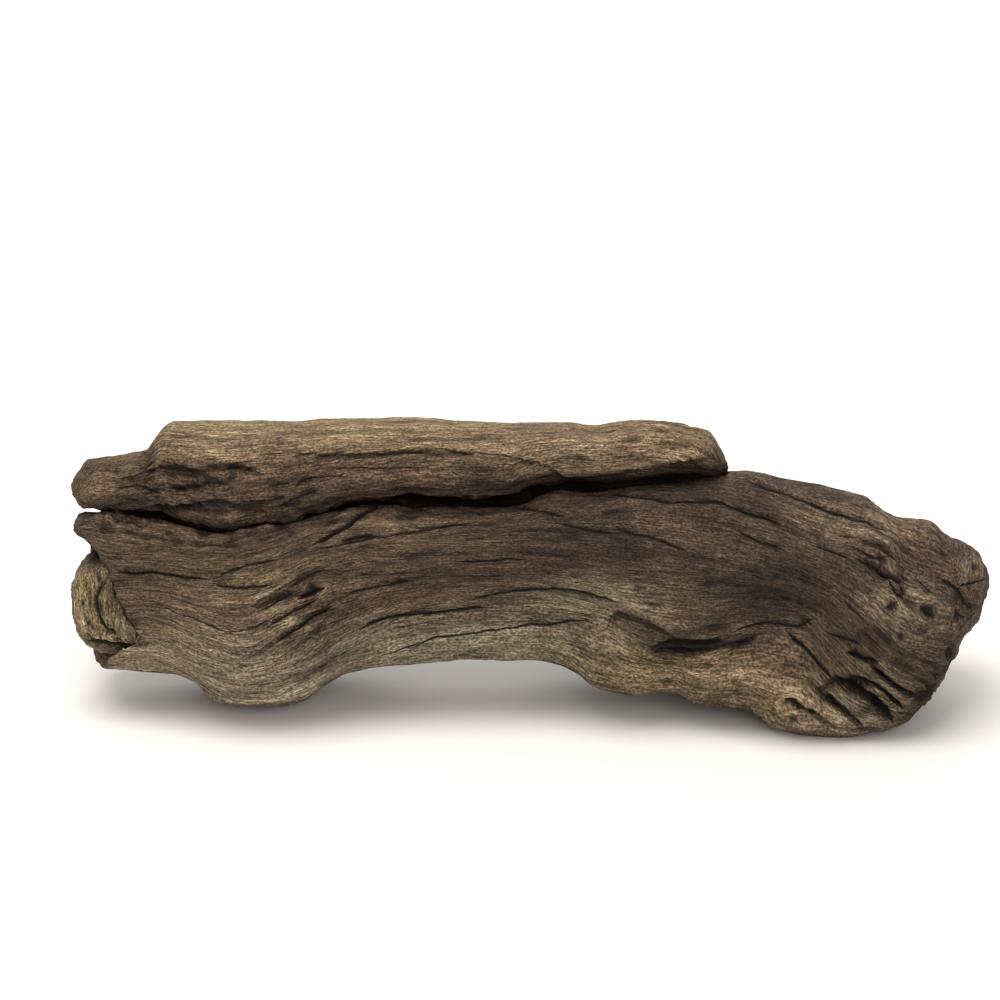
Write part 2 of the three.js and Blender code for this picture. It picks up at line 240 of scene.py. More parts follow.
# Lines cut or raised on the wood. A crack is a groove. A lap is a layer's broken edge: the wood
# on the left of the line, going along it, stands higher and falls away over a reach. Each is
# (kind, half width, depth or height, points as x and w), in mm.
STEM_LINES = [
    ("crack", 0.45, 1.6, [(-178, 73), (-161, 73), (-144, 71), (-135, 70)]),
    ("crack", 0.3, 0.9, [(-135, 70), (-128, 74), (-117, 77), (-106, 79)]),
    ("crack", 0.4, 1.0, [(-135, 69), (-129, 67), (-119, 67), (-109, 68)]),
    ("crack", 0.2, 0.5, [(-166, 59), (-155, 58), (-144, 54), (-134, 50), (-125, 48), (-117, 50),
                         (-110, 53), (-105, 57)]),
    ("crack", 0.8, 2.8, [(-98, 62), (-93, 64), (-87, 67)]),
    ("crack", 0.4, 1.2, [(-114, 57), (-107, 61), (-100, 65)]),
    ("crack", 0.4, 1.2, [(-111, 50), (-103, 55), (-96, 59), (-89, 62)]),
    ("crack", 0.4, 1.2, [(-107, 44), (-99, 49), (-91, 55), (-84, 59)]),
    ("lap", 0.4, 1.3, [(-118, 59), (-108, 65), (-98, 71), (-90, 75), (-84, 77)]),
    ("lap", 0.3, 1.1, [(-124, 36), (-112, 42), (-104, 48), (-95, 54), (-88, 59)]),
    ("lap", 0.3, 1.0, [(-112, 33), (-102, 40), (-92, 48), (-85, 56)]),
    ("crack", 0.9, 2.4, [(-64, 103), (-70, 99), (-77, 94), (-84, 89), (-92, 85)]),
    ("crack", 0.5, 1.6, [(-80, 87), (-73, 89), (-66, 89)]),
    ("crack", 0.3, 0.8, [(-98, 81), (-85, 84), (-72, 87), (-59, 89), (-47, 91), (-34, 93),
                         (-23, 94)]),
    ("crack", 0.35, 0.8, [(-32, 78), (-21, 78), (-8, 79), (0, 78)]),
    ("crack", 0.4, 1.0, [(-78, 63), (-72, 66), (-59, 68), (-49, 70)]),
    ("crack", 0.45, 1.2, [(-72, 48), (-64, 53), (-51, 55), (-38, 56), (-25, 58), (-15, 58)]),
    ("crack", 0.4, 1.0, [(-64, 37), (-51, 41), (-38, 45), (-21, 47), (-4, 50), (9, 51), (21, 53),
                         (30, 51)]),
    ("crack", 0.35, 0.9, [(-28, 61), (-15, 64), (0, 66), (17, 66), (30, 63), (40, 60)]),
    ("crack", 0.4, 1.0, [(-6, 101), (0, 100), (6, 99), (16, 97)]),
    ("crack", 0.4, 1.0, [(11, 94), (22, 92), (37, 90)]),
    ("crack", 0.4, 1.0, [(35, 92), (49, 89), (58, 86), (67, 82)]),
    ("crack", 0.45, 1.5, [(28, 107), (44, 106), (59, 104), (72, 104), (80, 104), (90, 100),
                          (103, 95), (114, 90)]),
    ("crack", 0.5, 1.5, [(93, 113), (105, 109), (118, 104), (130, 99), (143, 95), (154, 89)]),
    ("crack", 0.35, 0.8, [(88, 91), (95, 87), (107, 83)]),
    ("crack", 0.35, 0.8, [(119, 85), (125, 83), (134, 79)]),
    ("lap", 0.6, 1.8, [(33, 50), (36, 57), (43, 56), (52, 52), (62, 46)]),
    ("lap", 1.1, 3.0, [(50, 40), (61, 42), (72, 41), (82, 42), (90, 46), (98, 48)]),
    ("crack", 1.3, 3.0, [(52, 42), (62, 44), (72, 43), (84, 44)]),
    ("crack", 0.5, 1.4, [(86, 48), (93, 51), (101, 53), (109, 51), (114, 50), (116, 54),
                         (121, 54)]),
    ("crack", 0.6, 2.0, [(108, 49), (114, 43), (119, 39), (123, 33), (128, 28)]),
    ("crack", 0.35, 1.0, [(124, 49), (130, 46), (137, 45), (140, 42)]),
    ("lap", 1.2, 4.0, [(127, 29), (133, 30), (139, 27), (144, 23), (150, 17), (156, 12)]),
    ("lap", 0.8, 2.6, [(121, 24), (126, 27), (130, 29)]),
    ("lap", 0.6, 2.2, [(123, 23), (129, 19), (135, 13), (143, 6)]),
    ("lap", 0.8, 3.4, [(143, 35), (150, 30), (156, 25), (163, 21), (174, 30)]),
    ("lap", 0.6, 2.0, [(114, 14), (124, 15), (123, 19), (120, 23)]),
    ("crack", 1.2, 2.4, [(107, 20), (112, 17), (117, 15), (122, 13)]),
    ("crack", 0.9, 3.0, [(144, 34), (150, 29), (156, 25), (163, 21), (168, 24)]),
    ("crack", 2.2, 5.5, [(130, 29), (138, 24), (147, 17), (155, 9)]),
    ("crack", 1.0, 3.4, [(134, 31), (146, 26), (152, 21), (159, 15)]),
    ("crack", 1.2, 3.4, [(125, 23), (133, 15), (142, 7)]),
    ("crack", 0.4, 0.8, [(149, 58), (152, 59), (155, 61)]),
    ("crack", 0.4, 0.8, [(164, 59), (167, 57), (169, 54)]),
    ("crack", 0.6, 1.0, [(179, 58), (182, 54), (186, 54)]),
    ("crack", 0.8, 3.0, [(133, 40), (141, 36), (147, 36)]),
    ("lap", 0.6, 2.0, [(116, 20), (124, 12), (132, 6)]),
    ("lap", 0.4, 1.4, [(139, 87), (149, 84), (156, 79)]),
    ("crack", 0.45, 1.4, [(136, 83), (144, 78), (150, 79)]),
    ("lap", 0.5, 1.6, [(137, 80), (146, 75), (153, 71), (159, 70)]),
    ("crack", 0.5, 1.6, [(145, 74), (152, 71), (156, 69), (158, 65), (157, 63)]),
    ("crack", 0.4, 1.2, [(151, 70), (152, 66), (154, 64), (157, 63)]),
    ("crack", 0.3, 1.0, [(144, 84), (150, 81), (156, 76)]),
    ("crack", 0.3, 0.9, [(141, 77), (148, 73), (151, 69)]),
    ("crack", 0.15, 0.4, [(160, 74), (166, 68), (172, 62), (176, 55), (179, 47)]),
    ("crack", 0.4, 1.2, [(174, 71), (181, 67), (186, 62), (190, 56)]),
    ("crack", 0.4, 0.8, [(183, 67), (191, 69), (197, 70)]),
]
STEM_BACK_LINES = [
    ("crack", 0.6, 1.8, [(-170, 66), (-130, 62), (-90, 66), (-50, 70), (-20, 69)]),
    ("crack", 0.5, 1.4, [(-60, 50), (-20, 46), (20, 50), (60, 58), (96, 60)]),
    ("crack", 0.7, 2.2, [(20, 84), (56, 86), (92, 80), (126, 68), (150, 56)]),
    ("lap", 0.5, 1.6, [(60, 36), (90, 30), (120, 34), (146, 44)]),
    ("crack", 0.4, 1.2, [(100, 96), (124, 90), (148, 80), (168, 72)]),
    ("crack", 0.5, 1.4, [(-150, 84), (-120, 80), (-86, 84), (-60, 88)]),
]
PLANK_LINES = [
    ("lap", 0.35, 0.9, [(-121, 123), (-102, 124), (-77, 124), (-55, 125), (-38, 126), (-21, 124),
                        (-8, 122), (4, 120), (14, 116)]),
    ("crack", 0.3, 0.7, [(-121, 123.5), (-102, 124), (-83, 123), (-60, 124), (-39, 125), (-11, 123),
                         (0, 120), (8, 117), (14, 114)]),
    ("lap", 0.5, 1.6, [(-164, 117), (-158, 118), (-151, 120), (-148, 117), (-143, 117),
                       (-134, 119), (-124, 120), (-116, 116)]),
    ("crack", 0.7, 1.8, [(-168, 115), (-163, 116), (-160, 118), (-155, 118), (-150, 119),
                         (-148, 117), (-142, 116)]),
    ("crack", 0.5, 1.4, [(-139, 118), (-134, 119), (-125, 118), (-121, 118), (-118, 117),
                         (-114, 114)]),
    ("crack", 0.8, 2.2, [(-154, 109), (-147, 109), (-141, 110), (-136, 111), (-131, 112),
                         (-129, 110)]),
    ("crack", 0.5, 1.4, [(-111, 110), (-102, 111), (-96, 112), (-93, 115)]),
    ("crack", 0.3, 0.8, [(-101, 109), (-95, 113), (-89, 114), (-79, 114)]),
    ("lap", 0.6, 1.8, [(-163, 101), (-151, 101), (-145, 101), (-139, 103), (-134, 104),
                       (-129, 103), (-123, 101)]),
    ("crack", 1.5, 3.2, [(-162, 101), (-152, 100), (-144, 101), (-138, 103)]),
    ("crack", 0.6, 1.6, [(-139, 103), (-135, 104), (-131, 104), (-127, 102), (-123, 101)]),
    ("crack", 0.4, 1.0, [(-122, 103), (-116, 103), (-109, 104), (-103, 105)]),
    ("crack", 0.4, 1.0, [(-107, 101), (-102, 103), (-98, 105), (-90, 108)]),
    ("crack", 0.5, 1.4, [(-177, 109), (-168, 110), (-161, 108), (-156, 106)]),
    ("crack", 0.3, 0.7, [(-85, 117), (-72, 118), (-55, 117), (-43, 118)]),
    ("lap", 0.8, 2.6, [(6, 118), (14, 115), (22, 114), (40, 117), (61, 120), (80, 122)]),
]
PLANK_BACK_LINES = [
    ("crack", 0.6, 1.8, [(-180, 114), (-140, 112), (-90, 116), (-50, 114)]),
    ("crack", 0.5, 1.6, [(-60, 126), (-20, 124), (24, 126), (60, 122)]),
    ("lap", 0.5, 1.6, [(60, 108), (20, 106), (-30, 103), (-80, 100)]),
]
HEART_LINES = [
    ("crack", 0.5, 1.6, [(-183, 70), (-186, 61), (-185, 55), (-184, 51), (-179, 47), (-175, 46)]),
    ("crack", 0.9, 2.6, [(-191, 43), (-183, 42), (-175, 42), (-168, 39)]),
]

# How the lines are drawn: lengths in mm, and shares.
LINE_STEP = 1.5  # between the points of a line
WAVER = 0.7  # how far it wavers to each side
WAVER_LENGTH = 7
LINE_REACH = 9.0  # a line changes nothing further away than this
LINE_TAPER = 0.16  # the share of its length over which it fades at each end
TIP_WIDTH = 0.25  # its width at its tips, as a share of that at its middle
END_FADE = 1.5  # how far past its ends it dies out
LEAST_GROOVE = 0.9  # half width of the narrowest groove
LAP_FALL = 4.0  # how far back a lap's raised layer falls away
LAP_DITCH = 0.5  # depth of the ditch in front of a lap, as a share of the lap's height
DITCH_PLACE = 1.2  # how far in front of the lap's edge the ditch lies
MARK_CORE = 1.1  # a place is surely on a line up to this distance,
MARK_BAND = 2.0  # and not at all from this one
MARK_END = 0.9  # how far past a line's ends its mark goes on
# A lap's edge is drawn dark as painted shade under its step.
LAP_MARK = 0.55  # how dark a lap's edge is drawn, a crack being 1

# Knots: x, w, radius, rise, radius and depth of the eye.
STEM_KNOTS = [
    (-92, 67, 9, 1.0, 1.6, 1.2),
    (152, 59, 6, 2.6, 2.4, 1.8),
    (167, 57, 7, 2.2, 2.6, 1.8),
    (156, 47, 4.5, 2.0, 1.7, 1.6),
    (179, 39, 5, 1.4, 2.4, 3.4),
    (190, 75, 8, 1.4, 1.5, 0.6),
    (180, 54, 7, 2.4, 1.8, 1.2),
    (148, 77, 12, 3.4, 2.0, 0.8),
    (111, 18, 6, 1.2, 1.6, 2.0),
    (-160, 100, 6, 0.6, 1.5, 1.0),
]
STEM_BACK_KNOTS = [
    (70, 70, 11, 3.0, 3.0, 3.0),
    (-96, 52, 8, 2.2, 2.2, 2.2),
    (150, 62, 7, 2.0, 2.0, 1.8),
]
HEART_KNOTS = [(-192, 60, 3, 0.4, 1.3, 1.2), (-189, 51, 4, 0.8, 1.0, 0.8)]
KNOT_WOBBLE = 0.25  # how uneven a knot's outline is
WOBBLE_SIZE = 5  # how far apart the bumps of its outline are
RING_HEIGHT = 0.12
RING_SPACING = 2.6
# how far the eye is darkened: partly the knot's darker wood, partly painted shade in its pit
EYE_DARK = 0.85

# Patches of broken or scaly wood: x, w, half length, half height, height of the steps and the
# size of the flakes, in mm.
FLAKE_SHAPE = np.array([2.6, 1, 1])  # how much longer a flake is along the grain than across it
# how far the lowest flakes are darkened: painted shade between them
LOW_FLAKE_SHADE = 0.3
STEM_ROUGH = [
    (148, 22, 24, 14, 2.6, 5),
    (170, 24, 9, 10, 3.6, 3.5),
    (148, 77, 13, 9, 1.4, 3),
    (51, 66, 8, 6, 1.2, 3),
    (77, 71, 8, 5, 1.0, 3),
    (-172, 43, 10, 6, 3.5, 5),
    (-166, 90, 14, 8, 1.6, 4),
    (-92, 62, 14, 10, 1.2, 4),
    (185, 64, 10, 9, 0.8, 4),
    (182, 40, 8, 12, 1.6, 5),
    (100, 14, 30, 8, 1.6, 4),
    (-60, 102, 60, 5, 1.4, 4),
]
PLANK_ROUGH = [
    (-158, 116, 24, 10, 2.4, 2.8),
    (-130, 112, 20, 8, 1.8, 2.8),
    (-160, 104, 12, 5, 2.0, 2.6),
    (70, 124, 12, 8, 1.6, 5),
    (-100, 97, 50, 6, 2.2, 4),
    (-20, 107, 50, 5, 2.0, 4),
    (60, 135, 40, 6, 1.2, 4),
]
HEART_ROUGH = [(-184, 60, 20, 24, 1.2, 3)]

# ------------------------------------------------------------
# Colours. Tints are soft patches: x, w, half length, half height, colour, strength. Noise moves
# their edges by TINT_STRAY. Some tints are painted shade, and each is marked where it stands.
BROWN = "#5b4b3d"
# Painted shade deep in the split:
SPLIT_SHADE = "#2f251c"
HEARTWOOD = "#88755a"
# Painted shade: the near-black that the insides of cracks, checks, pores and pits, lap edges,
# furrows, low flakes and knot eyes are mixed towards.
CRACK_SHADE = "#17110c"  # the dark of a crack
TINT_STRAY = 7
STRAY_SIZE = 30

STEM_TINTS = [
    (-150, 84, 40, 12, "#62513f", 0.8),
    (-150, 60, 40, 22, "#655542", 0.8),
    (-162, 38, 26, 11, "#8f7f68", 0.85),
    (-114, 24, 60, 16, "#998a75", 0.95),
    (-123, 72, 18, 6, "#6d5b45", 0.7),
    # Painted shade below the swirl's swell:
    (-89, 46, 14, 16, "#3a2d22", 0.85),
    (-108, 56, 8, 4, "#97866b", 0.7),
    (-98, 53, 8, 3, "#97866b", 0.6),
    (-60, 62, 40, 20, "#5d4c3b", 0.6),
    (-98, 94, 26, 8, "#4d3d30", 0.7),
    (-34, 42, 52, 10, "#8b826d", 0.85),
    (10, 40, 30, 9, "#837863", 0.85),
    (-30, 82, 50, 16, "#584839", 0.7),
    (-60, 91, 26, 7, "#7b6853", 0.7),
    # Painted shade: part of a dark band that runs down across the front from the crest:
    (30, 82, 40, 16, "#30261f", 0.85),
    (30, 62, 30, 9, "#7d705c", 0.8),
    (46, 30, 34, 14, "#8f7d5d", 0.9),
    # Painted shade: the same band, in these three:
    (97, 104, 40, 12, "#3c2f26", 0.8),
    (112, 79, 30, 14, "#33271f", 0.85),
    (100, 63, 32, 9, "#2b221b", 0.9),
    (80, 24, 26, 10, "#7e6c53", 0.95),
    (110, 18, 22, 12, "#836f56", 0.9),
    (170, 70, 24, 22, "#4e3f33", 0.8),
    (158, 58, 14, 14, "#7b6c58", 0.85),
    (192, 76, 10, 8, "#6f5e4c", 0.8),
    (150, 95, 30, 8, "#5f5040", 0.8),
    (138, 92, 30, 8, "#6c5b49", 0.7),
    (130, 88, 20, 5, "#74624f", 0.6),
    (143, 15, 24, 14, "#75654f", 0.85),
    (134, 19, 6, 4, "#8c7e6a", 0.9),
    (143, 13, 7, 4, "#8c7e6a", 0.9),
    (148, 24, 8, 3, "#83745f", 0.8),
    (129, 11, 12, 4, "#8d7d67", 0.8),
    # Painted shadow under the fold:
    (70, 42, 22, 5, "#15100b", 1.0),
    (140, 43, 16, 8, "#33281d", 0.85),
    (170, 22, 7, 10, "#241c16", 0.9),
    (179, 38, 6, 7, "#2a2119", 0.85),
    # Painted shade in the hollow:
    (171, 79, 8, 5, "#42342a", 0.7),
    (149, 76, 11, 7, "#43362c", 0.6),
    # Painted shade inside the torn crack, in these three:
    (134, 27, 10, 4, "#1b140e", 0.85),
    (139, 23, 6, 3, "#15100b", 0.9),
    (147, 17, 5, 3, "#15100b", 0.85),
]
STEM_BACK_TINTS = [
    (-120, 60, 70, 30, "#6b5c49", 0.7),
    (-20, 44, 60, 14, "#7c7260", 0.7),
    (60, 84, 60, 20, "#4c3d31", 0.7),
    (120, 40, 50, 20, "#75664f", 0.7),
    (180, 64, 24, 24, "#5a4a3a", 0.7),
]
PLANK_TINTS = [
    (-60, 141, 160, 16, "#8f7b5c", 1.0),
    (40, 134, 50, 17, "#887358", 1.0),
    (-135, 133, 40, 10, "#937e60", 0.85),
    (-185, 112, 16, 14, "#74624a", 0.9),
    (-140, 108, 34, 12, "#493a2e", 0.85),
    (-60, 112, 80, 10, "#564437", 0.85),
    (26, 123, 34, 6, "#8a7860", 0.8),
    # Painted shade under the plank's undercut lower edge, in these two:
    (28, 110, 46, 4.5, "#0f0b08", 1.0),
    (64, 114, 28, 4.5, "#1d150e", 1.0),
]
HEART_TINTS = [
    # Painted shade where the stem's broken edge stands in front of and over the heartwood, in these
    # two:
    (-177, 66, 5, 7, "#1d150e", 0.95),
    (-185, 80, 8, 4, "#2a2118", 0.9),
    (-172, 50, 8, 7, "#71624f", 0.8),
    # Painted shade under the stem's broken edge:
    (-172, 42, 8, 3, "#1d150e", 0.8),
    (-192, 62, 6, 8, "#85704f", 0.7),
]
# Painted shade: the web lies deep in the split between stem and plank.
WEB_SHADE_TINTS = [(-55, 104, 160, 5, SPLIT_SHADE, 0.9), (40, 108, 60, 8, "#0b0806", 1.0)]

BUMP = 0.8  # mm; height of the finest relief, which only the material has
EASED = {"interpolation_type": "SMOOTHSTEP"}
TIMES = {"operation": "MULTIPLY"}

# ------------------------------------------------------------
# The studio: its colours, its board and its camera

PALE = "#f4f3f0"
WARM = (1, 0.965, 0.92)  # the lamps' light, in linear red, green and blue
SKY = (1, 0.985, 0.96, 1)  # the sky's, with its alpha
FLOOR_HALF = 6.0  # m
CAMERA_DISTANCE = 1500  # mm from the stem's middle plane
CAMERA_X = -12.66  # where the camera points, in the stem's frame
CAMERA_W = 103.93
VIEW_WIDTH = 436.7  # mm across the picture at that distance
SENSOR = 36

# ------------------------------------------------------------
# Small tools of shape

def curve(points):
    """A smooth curve through (at, value) pairs that never overshoots: cubic pieces whose slope
    at a point is the harmonic mean of the slopes on its two sides, and 0 at a crest or a dip."""
    at, value = np.array(points, float).T
    slope = np.diff(value) / np.diff(at)
    before, after = np.r_[slope[0], slope], np.r_[slope, slope[-1]]
    same_way = before * after > 0
    tangent = np.where(same_way, 2 * before * after / np.where(same_way, before + after, 1), 0)

    def height(x):
        x = np.clip(x, at[0], at[-1])
        i = np.clip(np.searchsorted(at, x, side="right") - 1, 0, len(at) - 2)
        span = at[i + 1] - at[i]
        t = (x - at[i]) / span
        rise = (3 * t**2 - 2 * t**3) * (value[i + 1] - value[i])
        lead = t * (1 - t) ** 2 * span * tangent[i]
        trail = t**2 * (t - 1) * span * tangent[i + 1]
        return value[i] + rise + lead + trail

    return height


def smooth(t):
    """0 below 0, 1 above 1, and 3t^2 - 2t^3 between."""
    t = np.clip(t, 0, 1)
    return t * t * (3 - 2 * t)


def noise(place, seed=0):
    """Smooth noise, about -1 to 1: at each corner of the unit cell around a place, a gradient
    picked by a hash of the corner and the seed, blended by t^3 (6t^2 - 15t + 10)."""
    cell = np.floor(place).astype(np.int64)
    inside = place - cell
    fade = inside**3 * (inside * (inside * 6 - 15) + 10)
    total = np.zeros(place.shape[:-1])
    for corner in itertools.product((0, 1), repeat=3):
        at = (cell + corner).astype(np.uint32)
        mixed = at[..., 0] * np.uint32(73856093) ^ at[..., 1] * np.uint32(19349663)
        mixed ^= at[..., 2] * np.uint32(83492791) ^ np.uint32(seed * 7919 + 17)
        mixed ^= mixed >> np.uint32(13)
        mixed *= np.uint32(1540483477)
        mixed ^= mixed >> np.uint32(15)
        gradient = [((mixed >> np.uint32(s)) & np.uint32(1023)) / 511.5 - 1 for s in (0, 10, 20)]
        lean = sum(g * (inside[..., k] - corner[k]) for k, g in enumerate(gradient))
        share = np.prod(np.where(np.array(corner) == 1, fade, 1 - fade), axis=-1)
        total += lean * share
    return total * 1.5


def layered(place, seed=0, layers=3):
    """Noise with finer noise on it: each layer has half the size and half the height."""
    return sum(noise(place * 2**n, seed + n) / 2**n for n in range(layers))


def steps(height, count):
    """A height from -1 to 1 as plateaus, count of them to each unit, with short cliffs between
    them: the middle 0.3 of each rise holds the whole of it."""
    level = height * count
    whole = np.floor(level)
    return (whole + smooth((level - whole - 0.35) / 0.3)) / count


def spread(values, rows, columns):
    """The average of a grid's values over a window that reaches this many rows and columns each
    way, and wraps round at the grid's edges."""
    for axis, reach in ((0, rows), (1, columns)):
        values = sum(np.roll(values, n, axis) for n in range(-reach, reach + 1)) / (2 * reach + 1)
    return values


# ------------------------------------------------------------
# Lofts

def half_section(first, outer, last, powers, count):
    """Half of every section, as count points spaced evenly along it. It is two quarters of a
    superellipse that meet at its outermost point, with d = sin^(2/p) and w = cos^(2/p)."""
    angle = np.linspace(0, np.pi, SECTION_SAMPLES)
    opening = angle < np.pi / 2
    power = np.where(opening, powers[0][:, None], powers[1][:, None])
    across = np.sin(angle) ** (2 / power)
    up = np.abs(np.cos(angle)) ** (2 / power)
    start = np.where(opening[:, None], first[:, None], last[:, None])
    d = start[..., 0] + (outer[:, None, 0] - start[..., 0]) * across
    w = outer[:, None, 1] + (start[..., 1] - outer[:, None, 1]) * up
    run = np.cumsum(np.hypot(np.diff(d, axis=1), np.diff(w, axis=1)), axis=1)
    run = np.pad(run, ((0, 0), (1, 0)))
    share = np.arange(count) / count
    along = [share * total for total in run[:, -1]]
    rows = [(np.interp(a, r, di), np.interp(a, r, wi)) for a, r, di, wi in zip(along, run, d, w)]
    return np.array(rows).transpose(0, 2, 1)


def loft(spec, grid):
    """A loft as a grid of places, (x, d, w): a row for each section from tip to tip, and columns
    from the crest down the front and up the back. The rows at each end shrink to one point."""
    sections, front_lines, back_lines = grid
    line = {key: curve(value) for key, value in spec.items() if isinstance(value, list)}
    t = np.linspace(0, 1, sections)
    t = t - CROWDING * np.sin(2 * np.pi * t) / (2 * np.pi)
    x = spec["start"] + (spec["end"] - spec["start"]) * t
    crest, keel, front, back = (
        np.stack([line[depth](x), line[height](x)], axis=-1)
        for depth, height in (
            ("crest_depth", "crest"),
            ("keel_depth", "keel"),
            ("front", "front_height"),
            ("back", "back_height"),
        )
    )
    front_powers = (line["top_front"](x), line["bottom_front"](x))
    back_powers = (line["bottom_back"](x), line["top_back"](x))
    halves = (
        half_section(crest, front, keel, front_powers, front_lines),
        half_section(keel, back, crest, back_powers, back_lines),
    )
    ring = np.concatenate(halves, axis=1)
    body = np.concatenate([np.broadcast_to(x[:, None, None], (*ring.shape[:2], 1)), ring], axis=2)
    caps = []
    for end, way in ((0, -1), (-1, 1)):
        middle = ring[end].mean(axis=0)
        share = CAP_SHARES[:, None, None]
        shrunk = middle + share * (ring[end] - middle)
        out = x[end] + way * spec["cap"][end] * np.sqrt(1 - share**3)
        caps.append(np.concatenate([np.broadcast_to(out, (*shrunk.shape[:2], 1)), shrunk], axis=2))
    return np.concatenate([caps[0], body, caps[1][::-1]])


def turn_of(grid):
    """Each column's turn about the wood: 0 at the crest, pi at the keel, 2 pi at the crest."""
    _, front_lines, back_lines = grid
    front = np.pi * np.arange(front_lines) / front_lines
    back = np.pi * (1 + np.arange(back_lines) / back_lines)
    return np.concatenate([front, back])


def outward(place):
    """The outward direction at each place of a grid: across its two directions."""
    along = np.gradient(place, axis=0)
    around = np.roll(place, -1, axis=1) - np.roll(place, 1, axis=1)
    normal = np.cross(around, along)
    normal[0], normal[-1] = (-1, 0, 0), (1, 0, 0)
    length = np.linalg.norm(normal, axis=-1, keepdims=True)
    return normal / np.maximum(length, 1e-9)


def break_stem(place):
    """The stem's left end moved to its ragged outline on the front and a flatter one behind, and
    the swells raised: each is its height times e^-(distance / radius)^2."""
    x, d, w = place[..., 0], place[..., 1], place[..., 2]
    reach = STEM["start"] + BREAK_REACH
    splinters = BREAK_RAGGED * layered(np.stack([0 * w, d / 9, w / 5], axis=-1), 5)
    front_end = curve(STEM_BREAK)(w) + splinters
    left = front_end + (BACK_BREAK - front_end) * smooth((d - BREAK_TURN[0]) / BREAK_TURN[1])
    x = np.where(x < reach, left + (x - STEM["start"]) * (reach - left) / BREAK_REACH, x)
    side = np.where(d < 0, -1, 1)
    push = sum(
        (side == way) * height * np.exp(-((x - sx) ** 2 + (w - sw) ** 2) / radius**2)
        for sx, sw, way, radius, height in SWELLS
    )
    return np.stack([x, d + side * push * smooth(np.abs(d) / SWELL_EASE), w], axis=-1)


# ------------------------------------------------------------
# Relief: grain, lines, knots and rough patches

def draw_line(points, seed):
    """A drawn line with a natural waver: its points every LINE_STEP, rounded at the corners, and
    moved sideways by noise along its length."""
    points = np.array(points, float)
    run = np.r_[0, np.cumsum(np.linalg.norm(np.diff(points, axis=0), axis=1))]
    at = np.linspace(0, run[-1], max(4, int(run[-1] / LINE_STEP)))
    line = np.stack([np.interp(at, run, points[:, k]) for k in (0, 1)], axis=-1)
    padded = np.concatenate([line[:1], line[:1], line, line[-1:], line[-1:]])
    rounded = sum(padded[n : n + len(line)] for n in range(5)) / 5
    rounded[0], rounded[-1] = line[0], line[-1]
    along = np.gradient(rounded, axis=0)
    side = np.stack([-along[:, 1], along[:, 0]], axis=-1)
    side /= np.linalg.norm(side, axis=1, keepdims=True)
    waver = layered(np.stack([at / WAVER_LENGTH, at * 0 + seed, at * 0], axis=-1), seed)
    return rounded + side * (WAVER * waver)[:, None]


def beside(line, x, w):
    """How places lie to a line: the signed distance to it (positive on its left), the share of
    its length they are at, and how far past its ends they are."""
    start, step = line[:-1], np.diff(line, axis=0)
    length = np.linalg.norm(step, axis=1)
    way = step / length[:, None]
    to = np.stack([x[:, None] - start[:, 0], w[:, None] - start[:, 1]], axis=-1)
    along = (to * way).sum(axis=-1)
    off = way[:, 0] * to[..., 1] - way[:, 1] * to[..., 0]
    over = np.maximum(np.maximum(-along, along - length), 0)
    nearest = np.argmin(off**2 + over**2, axis=1)
    pick = (np.arange(len(x)), nearest)
    share = (nearest + np.clip(along[pick] / length[nearest], 0, 1)) / len(length)
    return off[pick], share, over[pick]


def cut_lines(lines, x, w, chosen, height, mark):
    """Cuts the lines into a relief, height, at the chosen places. A crack is a groove of section
    e^-(s / width)^2. A lap is a step up on the line's left, 1 mm wide, that falls away as
    e^-(s / fall), with a ditch in front of it. Both fade to nothing at their ends. The mark keeps
    each place's distance to the nearest line, how surely it belongs to it, and that line's half
    width there."""
    for seed, (kind, width, depth, points) in enumerate(lines):
        line = draw_line(points, seed)
        low, high = line.min(axis=0) - LINE_REACH, line.max(axis=0) + LINE_REACH
        near = chosen & (x > low[0]) & (x < high[0]) & (w > low[1]) & (w < high[1])
        s, share, past = beside(line, x[near], w[near])
        taper = smooth(np.minimum(share, 1 - share) / LINE_TAPER)
        body = taper * np.exp(-((past / END_FADE) ** 2))
        if kind == "crack":
            height[near] -= depth * body * np.exp(-((s / max(width, LEAST_GROOVE)) ** 2))
        else:
            step = smooth(0.5 + s) * np.exp(-np.maximum(s, 0) / LAP_FALL)
            ditch = LAP_DITCH * np.exp(-((s + DITCH_PLACE) ** 2))
            height[near] += depth * body * (step - ditch)
        sure = 1 - smooth((np.abs(s) - MARK_CORE) / (MARK_BAND - MARK_CORE))
        sure *= 1 - smooth(past / MARK_END)
        if kind == "lap":
            sure *= LAP_MARK
        closer = np.abs(s) + 2 * past < np.abs(mark[near, 0])
        half_width = width * (TIP_WIDTH + (1 - TIP_WIDTH) * taper)
        new = np.stack([s, sure, half_width], axis=-1)
        mark[near] = np.where((closer & (sure > 0))[:, None], new, mark[near])


def raise_knots(knots, place, chosen, height, dark):
    """Raises each knot as a low dome of uneven outline, with faint rings and a sunken dark eye,
    darkened partly as the knot's darker wood and partly as painted shade in its pit. Dome and eye
    are e^-(r / radius)^2."""
    x, w = place[..., 0], place[..., 2]
    uneven = 1 + KNOT_WOBBLE * layered(place / WOBBLE_SIZE, 77)
    for kx, kw, radius, rise, eye, depth in knots:
        r = np.hypot(x - kx, w - kw) * uneven
        dome = np.exp(-((r / radius) ** 2)) * chosen
        pit = np.exp(-((r / eye) ** 2)) * chosen
        rings = RING_HEIGHT * np.cos(2 * np.pi * r / RING_SPACING)
        height += dome * (rise + rings) - depth * pit
        dark[:] = np.maximum(dark, EYE_DARK * smooth(1.5 * pit))


